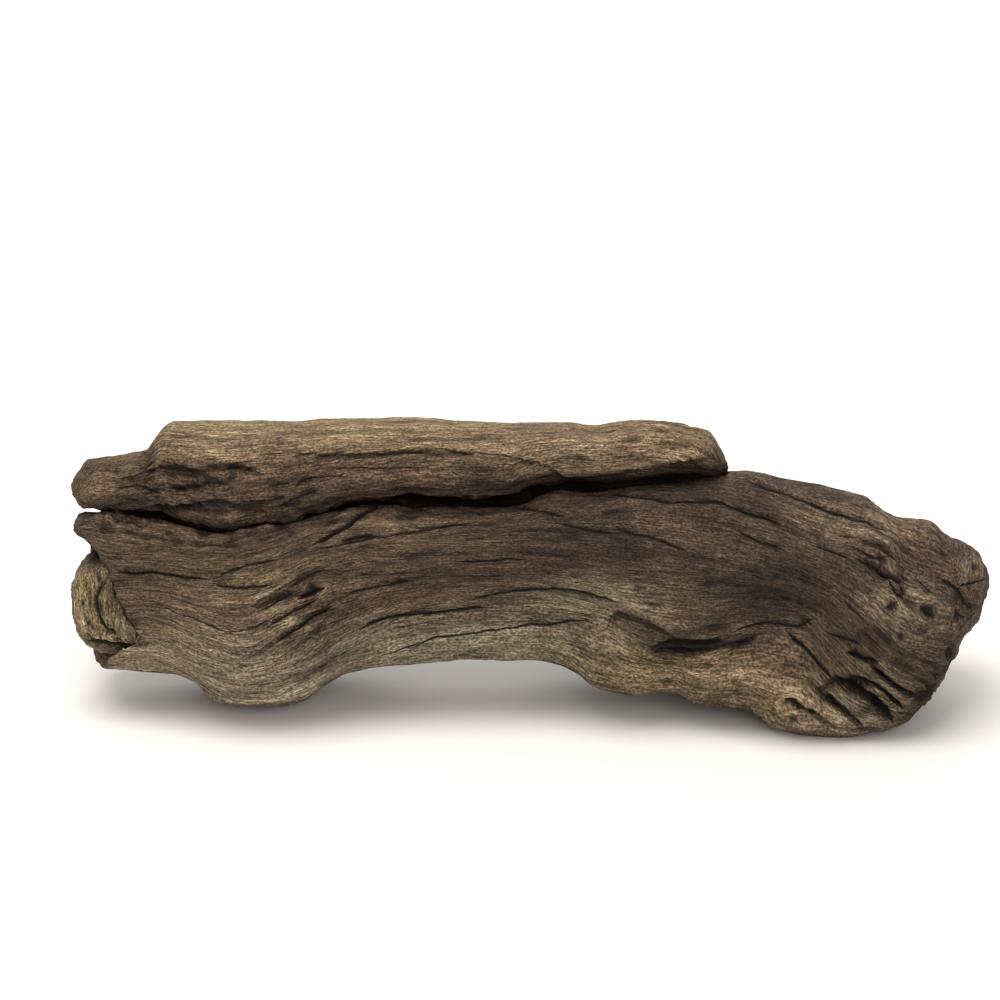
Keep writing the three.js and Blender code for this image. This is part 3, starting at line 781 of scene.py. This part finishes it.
def break_rough(patches, x, w, grain, chosen, height, dark):
    """Breaks patches into flakes: plateaus of noise that is longer along the grain. The lowest
    flakes are darkened as painted shade."""
    for n, (px, pw, half_x, half_w, size, flake) in enumerate(patches):
        inside = np.exp(-(((x - px) / half_x) ** 2 + ((w - pw) / half_w) ** 2) ** 2) * chosen
        rough = layered(grain / (flake * FLAKE_SHAPE), 40 + n, 4)
        height += size * inside * (0.6 * steps(rough, 3) + 0.2 * rough - 0.2)
        dark[:] = np.maximum(dark, LOW_FLAKE_SHADE * inside * smooth((-rough - 0.25) / 0.3))


def ragged_lips(lips, place, turn):
    """The height added along ragged edges: each fades with distance along and about the wood, and
    is broken up by noise."""
    broken = 0.6 + 1.1 * layered(place / LIP_SIZE, 88, 3)
    height = 0
    for lx, half_x, lip_turn, half_turn, rise in lips:
        along = np.exp(-(((place[..., 0] - lx) / half_x) ** 4))
        around = np.exp(-(((turn - lip_turn) / half_turn) ** 2))
        height = height + rise * along * around * broken
    return height


def furrows(grain, across, along, seed):
    """Narrow grooves along the grain, 0 to 1, where slow noise crosses its middle; more noise
    breaks them into lengths."""
    size = np.array([along, across, across])
    crossing = np.clip(1 - np.abs(noise(grain / size, seed)) / FURROW_WIDTH, 0, 1)
    return crossing * smooth(2.5 * noise(grain / size / 2, seed + 1) + 0.2)


# ------------------------------------------------------------
# Where the grain runs

def fullness(place):
    """The girth of each section against a full one, at most 1. Grain is drawn on a log that is
    thinner by this share, so a tapering end cuts across its lines and doesn't crowd them."""
    sides = np.linalg.norm(np.roll(place, -1, axis=1) - place, axis=-1)
    girth = sides.sum(axis=1)
    return np.minimum(1, girth / (FULL_SHARE * np.median(girth)))[:, None]


def on_log(place, angle, radius):
    """Grain as a place on a round log, (x, y, z) in mm, thinner where the wood tapers."""
    radius = radius * fullness(place)
    return np.stack([place[..., 0], radius * np.cos(angle), radius * np.sin(angle)], axis=-1)


def stem_grain(place, turn):
    """The stem's grain on a log. On the front its turn follows the grain lines; behind, it is the
    column's own. A knot pushes the lines off its middle by their offset from it times
    p / (r^2 + 0.8 p), p being the square of the parting, and this dies out over 3 radii."""
    x, w = place[..., 0], place[..., 2]
    bent = w.copy()
    for kx, kw, radius, *_ in STEM_KNOTS:
        r2 = (x - kx) ** 2 + (w - kw) ** 2
        parting = (PARTING * radius) ** 2
        bent -= (w - kw) * parting / (r2 + 0.8 * parting) * np.exp(-r2 / (3 * radius) ** 2)
    crest, keel = curve(STEM["crest"])(x), curve(STEM["keel"])(x)
    levels = [crest, *(curve(line)(x) for line in GRAIN_LINES), keel]
    count = len(levels) - 1
    for n in range(1, count):
        levels[n] = np.clip(levels[n], keel + LEVEL_GAP * (count - n), levels[n - 1] - LEVEL_GAP)
    share = sum(
        np.clip((high - bent) / np.maximum(high - low, 0.3), 0, 1)
        for high, low in zip(levels, levels[1:])
    )
    on_front = np.broadcast_to(turn < np.pi, x.shape)
    return on_log(place, np.where(on_front, np.pi * share / count, turn), STEM_GRAIN_R)


def round_grain(place, turn):
    """Grain that follows a loft's own lines, on a log."""
    return on_log(place, np.broadcast_to(turn, place.shape[:-1]), PLANK_GRAIN_R)


def upright_grain(place, turn):
    """Grain that runs straight up a broken face, as a place in mm. Its fibres are staggered, so
    that patterns don't line up across them."""
    x, d, w = place[..., 0], place[..., 1], place[..., 2]
    return np.stack([w + UPRIGHT_STAGGER * x, x, d], axis=-1)


# ------------------------------------------------------------
# Colour and carving

def rgb(colour):
    """An sRGB hex colour as linear red, green and blue."""
    values = np.array([int(colour[n : n + 2], 16) / 255 for n in (1, 3, 5)])
    return np.where(values <= 0.04045, values / 12.92, ((values + 0.055) / 1.055) ** 2.4)


def mix_tints(tints, place, chosen, colour):
    """Mixes soft-edged patches over the colour in turn. Noise moves the patches' edges."""
    stray = TINT_STRAY * layered(place / STRAY_SIZE, 60)
    x, w = place[..., 0] + stray, place[..., 2] + 0.6 * stray
    for tx, tw, half_x, half_w, tint, strength in tints:
        share = strength * np.exp(-(((x - tx) / half_x) ** 2 + ((w - tw) / half_w) ** 2))
        colour += (rgb(tint) - colour) * (share * chosen)[..., None]


def carve(place, grain, turn, front, back, lips, base):
    """Raises all the relief of one loft on its grid. front and back give their own lines, knots,
    rough patches and tints. Returns the carved places and what its surface carries: its grain,
    marks, colour with its painted shade tints, relief (how far it stands out from the wood around
    it) and darkness: painted shade in furrows and low flakes, and knot eyes darkened partly as
    painted shade."""
    x, w = place[..., 0].copy(), place[..., 2].copy()
    burl = 1 + smooth((x - BURL_START) / BURL_EASE)
    grooves = furrows(grain, across=4.2, along=34, seed=31)
    grooves += 0.7 * furrows(grain, across=2.8, along=16, seed=35)
    height = RIDGES * layered(grain / RIDGE_SIZE, 3)
    height += FINE_RIDGES * noise(grain / FINE_RIDGE_SIZE, 9)
    height += LUMPS * burl * layered(place / LUMP_SIZE, 21, 4)
    height -= FURROW_DEPTH * grooves + SINK
    height += ragged_lips(lips, place, turn)
    # The furrows are darkened as painted shade.
    dark = FURROW_SHADE * grooves
    mark = np.zeros((*x.shape, 3))
    mark[..., 0] = LINE_REACH
    # 1 on the front and 0 on the back: it turns over where the sine is between 0.3 and -0.3.
    facing = np.broadcast_to(smooth(0.5 + np.sin(turn) / 0.6), x.shape)
    colour = np.broadcast_to(rgb(base), place.shape).copy()
    for share, (lines, knots, rough, tints) in ((facing, front), (1 - facing, back)):
        cut_lines(lines, x, w, share > 0.5, height, mark)
        raise_knots(knots, place, share, height, dark)
        break_rough(rough, x, w, grain, share, height, dark)
        mix_tints(tints, place, share, colour)
    height[0], height[-1] = height[1].mean(), height[-2].mean()
    relief = height - spread(height, rows=5, columns=5)
    carved = place + outward(place) * height[..., None]
    return carved, {"grain": grain, "mark": mark, "tone_and_painted_shade": colour, "relief": relief, "dark": dark}


# ------------------------------------------------------------
# Meshes

def lay(place):
    """From the stem's frame to one with +Z up, in mm: leaned back, and pressed up to the ground
    where it would reach below it."""
    x, d, w = place[..., 0], place[..., 1], place[..., 2]
    y = w * math.sin(LEAN) + d * math.cos(LEAN)
    z = (w - GROUND_W) * math.cos(LEAN) - d * math.sin(LEAN)
    return np.stack([x, y, np.maximum(z, 0)], axis=-1)


def flatten(grid):
    """A grid's values as a list: the inner rows, then one value for each end."""
    inner = grid[1:-1].reshape(-1, *grid.shape[2:])
    return np.concatenate([inner, grid[:1, 0], grid[-1:, 0]])


def skin(name, place, carried):
    """A closed mesh over a grid: four-sided faces between its rows, and three-sided ones around
    the single point at each end. What its surface carries becomes point attributes."""
    rows, columns = place.shape[0] - 2, place.shape[1]
    i = np.arange(rows - 1)[:, None] * columns
    j = np.arange(columns)
    k = (j + 1) % columns
    quads = np.stack([i + j, i + k, i + columns + k, i + columns + j], axis=-1).reshape(-1, 4)
    first_tip = np.full(columns, rows * columns)
    last_row = (rows - 1) * columns
    fans = [
        np.stack([first_tip, k, j], axis=-1),
        np.stack([first_tip + 1, last_row + j, last_row + k], axis=-1),
    ]
    mesh = bpy.data.meshes.new(name)
    mesh.from_pydata(flatten(place).tolist(), [], quads.tolist() + np.concatenate(fans).tolist())
    for key, values in carried.items():
        flat = flatten(values)
        vector = flat.ndim == 2
        made = mesh.attributes.new(key, "FLOAT_VECTOR" if vector else "FLOAT", "POINT")
        made.data.foreach_set("vector" if vector else "value", flat.astype(np.float32).ravel())
    piece = bpy.data.objects.new(name, mesh)
    bpy.context.collection.objects.link(piece)
    return piece


def join(whole, parts):
    """Unites the parts with the whole into one closed skin, and removes them."""
    for part in parts:
        union = whole.modifiers.new(part.name, "BOOLEAN")
        union.operation = "UNION"
        union.solver = "MANIFOLD"
        union.object = part
    bpy.context.view_layer.update()
    graph = bpy.context.evaluated_depsgraph_get()
    united = whole.evaluated_get(graph)
    whole.data = bpy.data.meshes.new_from_object(
        united, preserve_all_data_layers=True, depsgraph=graph
    )
    whole.modifiers.clear()
    for part in parts:
        bpy.data.objects.remove(part)


def shift_to(box, lofts):
    """The move, in mm, that centres the laid lofts in a box in metres and sets them on its
    floor."""
    laid = np.concatenate([lay(place).reshape(-1, 3) for place in lofts])
    low, high = laid.min(axis=0), laid.max(axis=0)
    shift = (np.array(box[0]) + np.array(box[1])) / 2 / MM - (low + high) / 2
    shift[2] = box[0][2] / MM - low[2]
    return shift


def driftwood(box):
    """The whole piece, placed so that the plain lofts fill the CAD model's box, and its shift.
    The stem comes first, because the others are united with it."""
    pieces, lofts = [], {}
    for name, (spec, grid, *_) in PARTS.items():
        lofts[name] = loft(spec, grid)
    lofts["stem"] = break_stem(lofts["stem"])
    shift = shift_to(box, lofts.values())
    for name, (_, grid, run_of_grain, base, lips, front, back) in PARTS.items():
        turn = turn_of(grid)
        grain = run_of_grain(lofts[name], turn)
        carved, carried = carve(lofts[name], grain, turn, front, back, lips, base)
        pieces.append(skin(name, (lay(carved) + shift) * MM, carried))
    whole, *parts = pieces
    join(whole, parts)
    whole.name = whole.data.name = "weathered_driftwood"
    whole.data.shade_smooth()
    whole.data.set_sharp_from_angle(angle=math.radians(60))
    return whole, shift


# Each part's loft, its grid (how many sections, and how many lines run along its front and its
# back), how its grain runs, its colour, its ragged lips, and what its front and its back have:
# lines, knots, rough patches and tints.
PARTS = {
    "stem": (
        STEM, (350, 132, 72), stem_grain, BROWN, STEM_LIPS,
        (STEM_LINES, STEM_KNOTS, STEM_ROUGH, STEM_TINTS),
        (STEM_BACK_LINES, STEM_BACK_KNOTS, [], STEM_BACK_TINTS),
    ),
    "plank": (
        PLANK, (236, 50, 34), round_grain, BROWN, PLANK_LIPS,
        (PLANK_LINES, [], PLANK_ROUGH, PLANK_TINTS),
        (PLANK_BACK_LINES, [], [], PLANK_TINTS),
    ),
    "web": (
        WEB, (70, 14, 12), round_grain, BROWN, WEB_LIPS,
        ([], [], [], WEB_SHADE_TINTS),
        ([], [], [], []),
    ),
    "heart": (
        HEART, (60, 34, 22), upright_grain, HEARTWOOD, [],
        (HEART_LINES, HEART_KNOTS, HEART_ROUGH, HEART_TINTS),
        ([], [], HEART_ROUGH, []),
    ),
}

# ------------------------------------------------------------
# Materials

def add(tree, kind, inputs=(), **settings):
    """Adds a node, gives it its settings, and sets or links its inputs, which are a list in their
    order or a dict by name or number."""
    made = tree.nodes.new("ShaderNode" + kind)
    for name, value in settings.items():
        setattr(made, name, value)
    named = inputs if isinstance(inputs, dict) else dict(enumerate(inputs))
    for name, value in named.items():
        if isinstance(value, bpy.types.NodeSocket):
            tree.links.new(value, made.inputs[name])
        else:
            made.inputs[name].default_value = value
    return made


def new_material(name):
    """An empty material and its tree."""
    material = bpy.data.materials.new(name)
    material.use_nodes = True
    material.node_tree.nodes.clear()
    return material, material.node_tree


def fibre_noise(tree, grain, across, along, detail):
    """Noise drawn out along the grain: across and along are its size in mm."""
    size = (1 / along, 1 / across, 1 / across)
    place = add(tree, "VectorMath", [grain, size], operation="MULTIPLY").outputs[0]
    inputs = {"Vector": place, "Scale": 1.0, "Detail": detail, "Roughness": 0.6}
    return add(tree, "TexNoise", inputs).outputs["Fac"]


def wood_patterns(tree, grain):
    """Every pattern that runs with the grain, by name, from 0 to 1, with its size in mm across
    and along the grain. Real fibres, pores and grit are finer, and are drawn this coarse so that
    they show."""
    patterns = {}
    for name, across, along, detail in (
        ("fibres", 0.8, 7, 3.0),
        ("strands", 2.0, 20, 4.0),
        ("bands", 5, 60, 3.0),
        ("grit", 0.75, 1.3, 2.0),
        ("patches", 9, 26, 3.0),
        ("checks", 2.0, 40, 2.0),
        ("breaks", 7, 30, 2.0),
        ("pores", 0.95, 5, 2.0),
    ):
        patterns[name] = fibre_noise(tree, grain, across, along, detail)
    for name, low, high in (("fibres", 0.38, 0.62), ("grit", 0.36, 0.64), ("pores", 0.58, 0.66)):
        patterns[name] = add(tree, "MapRange", [patterns[name], low, high], **EASED).outputs[0]
    return patterns


def drawn_cracks(tree, strands):
    """How dark the drawn cracks are, 0 to 1: painted shade within their half width of the line,
    with a fibrous edge. Lap edges are drawn the same way, fainter."""
    mark = add(tree, "Attribute", attribute_name="mark").outputs["Vector"]
    distance, sure, half_width = add(tree, "SeparateXYZ", [mark]).outputs
    fray = add(tree, "Math", [strands, 1.2, -0.6], operation="MULTIPLY_ADD").outputs[0]
    frayed = add(tree, "Math", [distance, fray], operation="ADD").outputs[0]
    off_line = add(tree, "Math", [frayed], operation="ABSOLUTE").outputs[0]
    nearness = add(tree, "Math", [off_line, half_width], operation="DIVIDE").outputs[0]
    darkness = add(tree, "MapRange", [nearness, 1.5, 0.4], **EASED).outputs[0]
    return add(tree, "Math", [sure, darkness], **TIMES).outputs[0]


def drying_checks(tree, checks, breaks):
    """Hairlines, 0 to 1, where slow noise crosses its middle, broken up by slower noise."""
    past_middle = add(tree, "Math", [checks, 0.5], operation="SUBTRACT").outputs[0]
    off_middle = add(tree, "Math", [past_middle], operation="ABSOLUTE").outputs[0]
    hairline = add(tree, "MapRange", [off_middle, 0.02, 0.004], **EASED).outputs[0]
    length = add(tree, "MapRange", [breaks, 0.44, 0.56], **EASED).outputs[0]
    return add(tree, "Math", [hairline, length], **TIMES).outputs[0]


def weathered_wood():
    """Driftwood: wood soaked, sanded and sun-bleached, then dried. The soft spring wood is worn
    away, so pale ridges and darker lines run along the grain; it has no gloss. Its hairline checks,
    pores, cracks and hollows are darkened as painted shade, and its ridges are paler than its
    hollows, partly by wear and partly as a painted highlight."""
    material, tree = new_material("weathered driftwood")
    grain = add(tree, "Attribute", attribute_name="grain").outputs["Vector"]
    tone_and_painted_shade = add(tree, "Attribute", attribute_name="tone_and_painted_shade").outputs["Color"]
    relief = add(tree, "Attribute", attribute_name="relief").outputs["Fac"]
    shade = add(tree, "Attribute", attribute_name="dark").outputs["Fac"]
    pattern = wood_patterns(tree, grain)
    drawn = drawn_cracks(tree, pattern["strands"])
    hairline = drying_checks(tree, pattern["checks"], pattern["breaks"])
    pore_patches = add(tree, "MapRange", [pattern["patches"], 0.4, 0.6], **EASED).outputs[0]
    pitted = add(tree, "Math", [pattern["pores"], pore_patches], **TIMES).outputs[0]
    # Hollows are darkened as painted shade; ridges are paler, partly by wear and partly as a
    # painted highlight, and a little glossier.
    hollow_shade = add(tree, "MapRange", [relief, -0.05, -0.8], **EASED).outputs[0]
    ridge_wear_and_highlight = add(tree, "MapRange", [relief, 0.1, 0.8], **EASED).outputs[0]

    lightness = 1.0
    for value, low, high, dim, bright in (
        (pattern["fibres"], 0.0, 1.0, 0.66, 1.3),
        (pattern["strands"], 0.34, 0.66, 0.86, 1.16),
        (pattern["bands"], 0.3, 0.7, 0.8, 1.2),
        (pattern["patches"], 0.3, 0.7, 0.76, 1.26),
        (pattern["grit"], 0.0, 1.0, 0.54, 1.48),
        (hollow_shade, 0.0, 1.0, 1.0, 0.45),
        (ridge_wear_and_highlight, 0.0, 1.0, 1.0, 1.3),
    ):
        factor = add(tree, "MapRange", [value, low, high, dim, bright], **EASED).outputs[0]
        lightness = add(tree, "Math", [lightness, factor], **TIMES).outputs[0]
    grained_and_shaded = add(tree, "VectorMath", {0: tone_and_painted_shade, "Scale": lightness}, operation="SCALE").outputs[0]

    # Hairline checks, pores and drawn cracks, and the dark attribute, pull the colour towards the
    # near-black of painted shade.
    for value, strength in ((hairline, 0.75), (pitted, 0.45), (drawn, 0.93)):
        darker = add(tree, "Math", [value, strength], **TIMES).outputs[0]
        shade = add(tree, "Math", [darker, shade], operation="MAXIMUM").outputs[0]
    # 6, 7 and 2 are the Mix node's two colour inputs and its colour output.
    colour = add(tree, "Mix", {0: shade, 6: grained_and_shaded, 7: (*rgb(CRACK_SHADE), 1)}, data_type="RGBA").outputs[2]

    depth = 0.0
    for value, raised in (
        (pattern["fibres"], 0.4),
        (pattern["strands"], 0.8),
        (pattern["bands"], 1.0),
        (pattern["grit"], 0.22),
        (hairline, -0.5),
        (pitted, -0.4),
        (drawn, -1.3),
    ):
        depth = add(tree, "Math", [value, raised, depth], operation="MULTIPLY_ADD").outputs[0]
    bump = add(tree, "Bump", {"Height": depth, "Strength": 1.0, "Distance": BUMP * MM})
    rough = add(tree, "MapRange", [ridge_wear_and_highlight, 0.0, 1.0, 0.9, 0.76], **EASED).outputs[0]
    surface = add(tree, "BsdfPrincipled", {
        "Base Color": colour,
        "Roughness": rough,
        "IOR": 1.45,
        "Specular IOR Level": 0.25,
        "Normal": bump.outputs[0],
    })
    add(tree, "OutputMaterial", {"Surface": surface.outputs[0]})
    return material


def pale_floor():
    """Matt painted board: nearly white, with no sheen."""
    material, tree = new_material("pale matt board")
    surface = add(tree, "BsdfPrincipled", {"Base Color": (*rgb(PALE), 1), "Roughness": 0.9})
    add(tree, "OutputMaterial", {"Surface": surface.outputs[0]})
    return material


# ------------------------------------------------------------
# The studio

def floor():
    """A square board on the ground, far wider than the view."""
    mesh = bpy.data.meshes.new("floor")
    corners = [(x * FLOOR_HALF, y * FLOOR_HALF, 0) for x, y in ((-1, -1), (1, -1), (1, 1), (-1, 1))]
    mesh.from_pydata(corners, [], [(0, 1, 2, 3)])
    mesh.materials.append(pale_floor())
    made = bpy.data.objects.new("floor", mesh)
    bpy.context.collection.objects.link(made)


def camera(shift):
    """A long lens that looks along the stem's depth, so down at the ground by its lean."""
    data = bpy.data.cameras.new("camera")
    data.sensor_width = SENSOR
    data.lens = SENSOR * CAMERA_DISTANCE / VIEW_WIDTH
    made = bpy.data.objects.new("camera", data)
    made.location = (lay(np.array([CAMERA_X, -CAMERA_DISTANCE, CAMERA_W])) + shift) * MM
    made.rotation_euler = (math.pi / 2 - LEAN, 0, 0)
    bpy.context.collection.objects.link(made)
    bpy.context.scene.camera = made


def softbox(name, place, target, size, power):
    """A square lamp at a place, turned to its target: metres and watts."""
    data = bpy.data.lights.new(name, "AREA")
    data.shape = "SQUARE"
    data.size = size
    data.energy = power
    data.color = WARM
    made = bpy.data.objects.new(name, data)
    made.location = place
    made.rotation_euler = (Vector(target) - Vector(place)).to_track_quat("-Z", "Y").to_euler()
    bpy.context.collection.objects.link(made)


def studio():
    """Soft daylight: a pale sky, a box above, a weaker one in front, and one that lights the
    board behind the piece."""
    world = bpy.data.worlds.new("studio")
    world.use_nodes = True
    sky = world.node_tree.nodes["Background"]
    sky.inputs["Color"].default_value = SKY
    sky.inputs["Strength"].default_value = 0.5
    bpy.context.scene.world = world
    middle = (0, 0, 0.06)
    softbox("overhead", (-0.25, -0.25, 1.3), middle, 1.1, 16)
    softbox("front fill", (0.5, -1.6, 0.8), middle, 1.0, 8)
    softbox("background", (0, 2.8, 1.8), (0, 2.9, 0), 3.0, 60)
    bpy.context.scene.view_settings.view_transform = "Standard"


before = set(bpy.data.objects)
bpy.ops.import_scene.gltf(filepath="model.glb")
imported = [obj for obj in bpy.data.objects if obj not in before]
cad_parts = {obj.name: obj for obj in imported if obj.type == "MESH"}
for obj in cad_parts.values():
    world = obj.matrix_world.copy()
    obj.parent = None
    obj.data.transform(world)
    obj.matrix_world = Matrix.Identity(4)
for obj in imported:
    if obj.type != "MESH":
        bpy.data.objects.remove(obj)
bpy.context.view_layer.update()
piece, placed = driftwood(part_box("driftwood"))
piece.data.materials.clear()
piece.data.materials.append(weathered_wood())
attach(piece, "root")
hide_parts("driftwood")
floor()
studio()
camera(placed)
